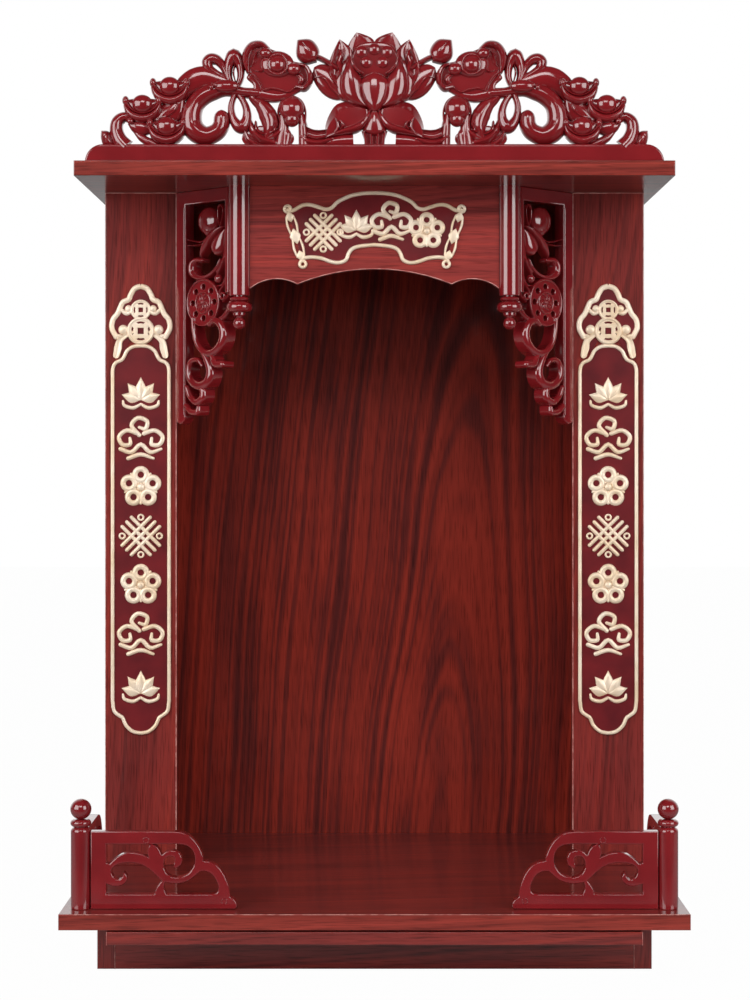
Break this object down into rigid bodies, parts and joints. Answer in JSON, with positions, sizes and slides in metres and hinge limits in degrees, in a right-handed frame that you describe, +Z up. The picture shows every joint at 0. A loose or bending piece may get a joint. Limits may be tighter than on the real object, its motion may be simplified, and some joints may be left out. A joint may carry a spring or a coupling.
{
  "type": "wall shrine shelf",
  "caption": "Open-fronted wall shrine cabinet of rosewood-grain board with a carved crest, corner brackets, corner fences and a pull-out offering tray.",
  "frame": {"origin": "middle of the object's box, across and front to back, at the foot of the base", "axes": "+Z up, +X to the right as seen from the front, -Y to the front, +Y to the wall"},
  "size_m": [0.48, 0.356, 0.7459],
  "materials": {
    "rosewood_laminate": "high gloss rosewood-grain laminate",
    "red_moulding": "glossy moulded dark red",
    "gilt_moulding": "pale gold satin",
    "bare_wood": "stained wood"
  },
  "bodies": {
    "cabinet": {"back_panel": "rosewood_laminate", "base_back": "rosewood_laminate", "base_front": "rosewood_laminate", "base_side_left": "rosewood_laminate", "base_side_right": "rosewood_laminate", "bracket_left": "red_moulding", "bracket_right": "red_moulding", "crest": "red_moulding", "fence_front_left": "red_moulding", "fence_front_right": "red_moulding", "fence_post_left": "red_moulding", "fence_post_right": "red_moulding", "fence_side_left": "red_moulding", "fence_side_right": "red_moulding", "gilt_frame_left": "gilt_moulding", "gilt_frame_right": "gilt_moulding", "lintel_board": "rosewood_laminate", "pendant_post_left": "red_moulding", "pendant_post_right": "red_moulding", "pillar_board_left": "rosewood_laminate", "pillar_board_right": "rosewood_laminate", "plaque_border": "gilt_moulding", "shelf_board": "rosewood_laminate", "side_panel_left": "rosewood_laminate", "side_panel_right": "rosewood_laminate", "top_board": "rosewood_laminate", "tray_runner_left": "bare_wood", "tray_runner_right": "bare_wood"},
    "tray": {"offering_tray": "rosewood_laminate"}
  },
  "joints": [
    {"name": "tray_slide", "type": "slide", "parent": "cabinet", "child": "tray", "axis": [0, -1, 0], "range_m": [0, 0.14]}
  ]
}
